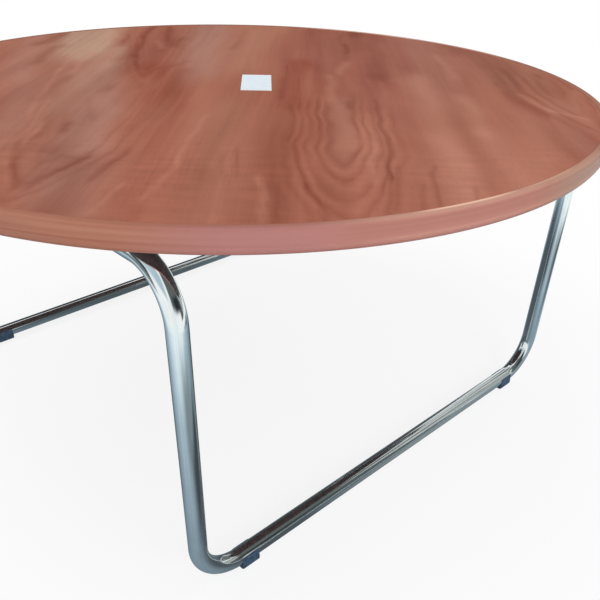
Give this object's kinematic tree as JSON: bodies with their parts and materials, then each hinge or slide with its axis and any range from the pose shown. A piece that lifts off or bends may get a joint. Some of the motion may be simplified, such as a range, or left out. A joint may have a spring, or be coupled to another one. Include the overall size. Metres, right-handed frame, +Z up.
{
  "type": "coffee table",
  "caption": "Round wood-decor coffee table with a rounded edge, on a closed loop base of bent chrome tube with clip-on glides.",
  "frame": {"origin": "on the floor under the centre of the top, at the bottom centre of the bounding box", "axes": "+Z up, through the thin way of the table; +Y along the two floor bars, from the front crossbar to the rear one; +X across, from the left floor bar to the right one"},
  "size_m": [0.8999, 0.9, 0.42],
  "materials": {
    "wood_decor": "reddish pear-wood decor laminate, satin",
    "backing_laminate": "plain dark brown backing laminate, matt",
    "edge_moulding": "wood-decor edge moulding with fine lengthwise streaks, satin",
    "particleboard": "raw particleboard",
    "chrome": "bright chrome plate",
    "plain_steel": "bare drawn tube",
    "zinc_screw": "bright zinc plate",
    "glide_plastic": "blue-black moulded plastic, worn satin"
  },
  "bodies": {
    "root": {"board_core": "particleboard", "edge_moulding": "edge_moulding", "front_joint_sleeve": "plain_steel", "front_left_glide": "glide_plastic", "front_left_inner_board_screw": "zinc_screw", "front_left_mounting_plate": "chrome", "front_left_outer_board_screw": "zinc_screw", "front_left_sleeve_screw": "zinc_screw", "front_right_glide": "glide_plastic", "front_right_inner_board_screw": "zinc_screw", "front_right_mounting_plate": "chrome", "front_right_outer_board_screw": "zinc_screw", "front_right_sleeve_screw": "zinc_screw", "left_frame_tube": "chrome", "rear_joint_sleeve": "plain_steel", "rear_left_glide": "glide_plastic", "rear_left_inner_board_screw": "zinc_screw", "rear_left_mounting_plate": "chrome", "rear_left_outer_board_screw": "zinc_screw", "rear_left_sleeve_screw": "zinc_screw", "rear_right_glide": "glide_plastic", "rear_right_inner_board_screw": "zinc_screw", "rear_right_mounting_plate": "chrome", "rear_right_outer_board_screw": "zinc_screw", "rear_right_sleeve_screw": "zinc_screw", "right_frame_tube": "chrome", "top_laminate": "wood_decor", "underside_laminate": "backing_laminate"}
  },
  "joints": []
}
